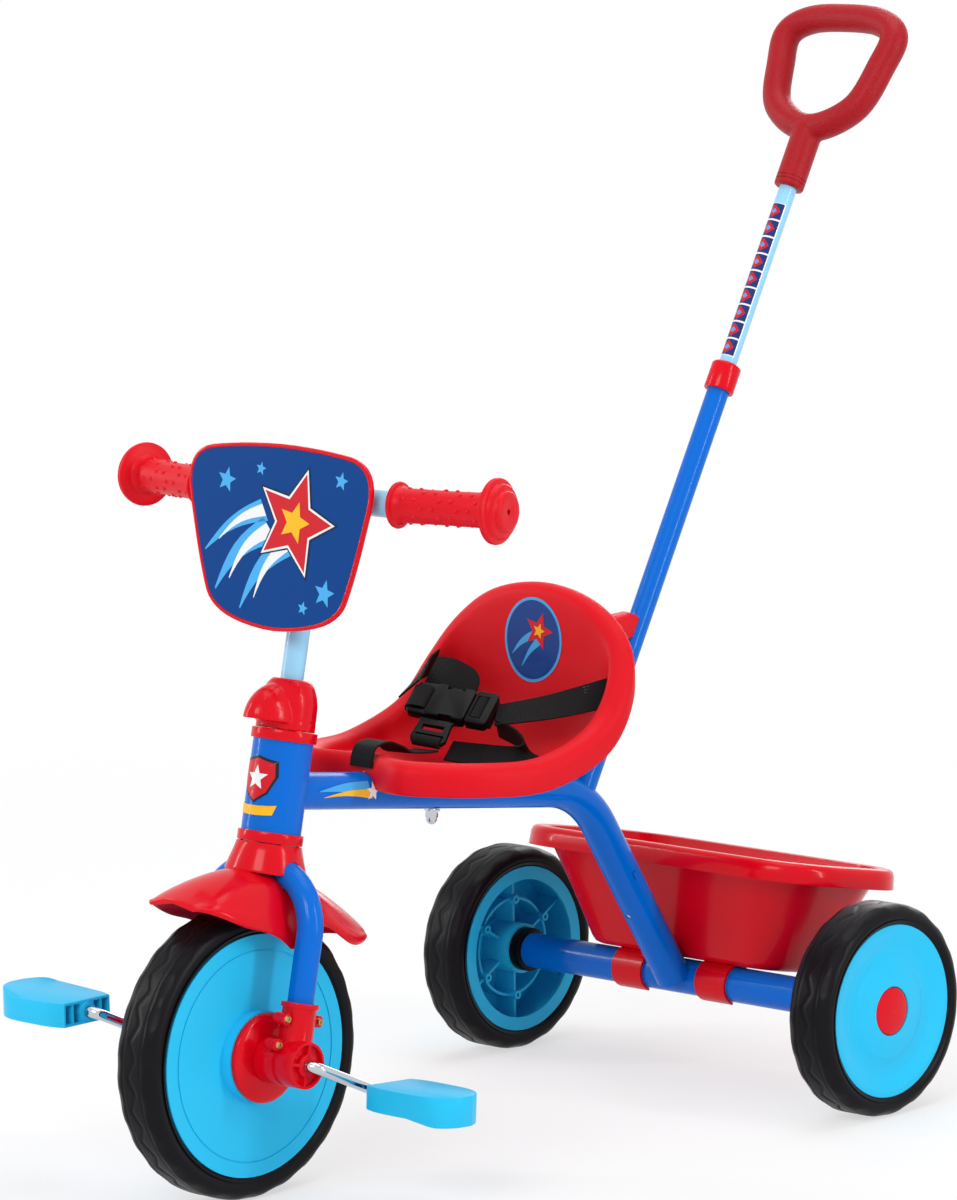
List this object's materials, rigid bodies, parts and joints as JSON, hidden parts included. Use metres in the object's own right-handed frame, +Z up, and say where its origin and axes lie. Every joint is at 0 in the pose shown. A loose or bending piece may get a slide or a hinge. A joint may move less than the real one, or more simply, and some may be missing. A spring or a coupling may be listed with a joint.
{
  "type": "tricycle",
  "caption": "Toddler push along trike with blue tube frame, red bucket seat and harness, pedal driven front wheel, load tub and telescopic push pole.",
  "frame": {"origin": "on the floor, midway across the trike and midway between its front and rear extremes", "axes": "+X to the rider's left, -Y to the front, +Z up"},
  "size_m": [0.4864, 0.9377, 0.9529],
  "materials": {
    "painted_blue": "gloss paint",
    "pale_blue": "gloss paint",
    "red_gloss": "smooth moulding",
    "seat_red": "fine grained moulding",
    "sky_blue": "smooth moulding",
    "plate_blue": "smooth print face",
    "tyre_black": "moulded tread",
    "black_plastic": "fine grained moulding",
    "webbing": "ribbed webbing",
    "bright_steel": "polished plating",
    "screw_zinc": "yellow passivated"
  },
  "bodies": {
    "frame": {"head_tube": "painted_blue", "upper_head_ring": "red_gloss", "lower_head_ring": "red_gloss", "main_tube": "painted_blue", "rear_leg": "painted_blue", "leg_screw": "bright_steel", "leg_snap_button": "painted_blue", "axle_tube": "painted_blue", "axle_bush_left": "black_plastic", "axle_bush_right": "black_plastic", "rear_axle": "bright_steel", "axle_push_nuts": "bright_steel", "pole_socket": "painted_blue", "pole_lower": "painted_blue", "pole_collar": "red_gloss", "seat_shell": "seat_red", "seat_clip": "seat_red", "seat_bolt": "bright_steel", "seat_washer": "bright_steel", "seat_nut": "bright_steel", "strap_left": "webbing", "strap_right": "webbing", "strap_crotch": "webbing", "buckle_socket": "black_plastic", "buckle_plug": "black_plastic", "strap_slider": "black_plastic", "tub": "red_gloss"},
    "push_handle": {"pole_upper": "pale_blue", "pole_guide": "black_plastic", "loop_handle": "red_gloss"},
    "steering_head": {"stem": "pale_blue", "handlebar": "pale_blue", "grip_left": "red_gloss", "grip_right": "red_gloss", "plate_rim": "red_gloss", "plate_face": "plate_blue", "plate_clips": "red_gloss", "head_cover": "red_gloss", "fork": "painted_blue", "mudguard": "red_gloss", "fork_end_left_outer": "red_gloss", "fork_end_left_inner": "red_gloss", "fork_end_right_outer": "red_gloss", "fork_end_right_inner": "red_gloss", "fork_end_screws": "screw_zinc"},
    "front_wheel_set": {"front_tyre": "tyre_black", "front_wheel": "sky_blue", "hub_flange_left": "red_gloss", "hub_flange_right": "red_gloss", "crank": "bright_steel", "pedal_push_nuts": "bright_steel"},
    "left_pedal": {"pedal_left": "sky_blue"},
    "right_pedal": {"pedal_right": "sky_blue"},
    "left_rear_wheel": {"rear_left_tyre": "tyre_black", "rear_left_wheel": "sky_blue", "rear_left_cap": "red_gloss"},
    "right_rear_wheel": {"rear_right_tyre": "tyre_black", "rear_right_wheel": "sky_blue", "rear_right_cap": "red_gloss"}
  },
  "joints": [
    {"name": "steering", "type": "hinge", "parent": "frame", "child": "steering_head", "pos_m": [0, -0.34229, 0.12155], "axis": [0, 0.225, 0.9744], "range_deg": [-90, 90]},
    {"name": "front_wheel_turn", "type": "hinge", "parent": "steering_head", "child": "front_wheel_set", "pos_m": [0, -0.34638, 0.1225], "axis": [1, 0, 0], "continuous": true},
    {"name": "left_pedal_turn", "type": "hinge", "parent": "front_wheel_set", "child": "left_pedal", "pos_m": [0.15532, -0.28049, 0.09107], "axis": [1, 0, 0], "continuous": true},
    {"name": "right_pedal_turn", "type": "hinge", "parent": "front_wheel_set", "child": "right_pedal", "pos_m": [-0.15532, -0.41227, 0.15393], "axis": [1, 0, 0], "continuous": true},
    {"name": "left_rear_wheel_turn", "type": "hinge", "parent": "frame", "child": "left_rear_wheel", "pos_m": [0.22025, 0.21882, 0.094], "axis": [1, 0, 0], "continuous": true},
    {"name": "right_rear_wheel_turn", "type": "hinge", "parent": "frame", "child": "right_rear_wheel", "pos_m": [-0.22025, 0.21882, 0.094], "axis": [1, 0, 0], "continuous": true},
    {"name": "push_handle_slide", "type": "slide", "parent": "frame", "child": "push_handle", "axis": [0, 0.4939, 0.8695], "range_m": [-0.15, 0]}
  ]
}
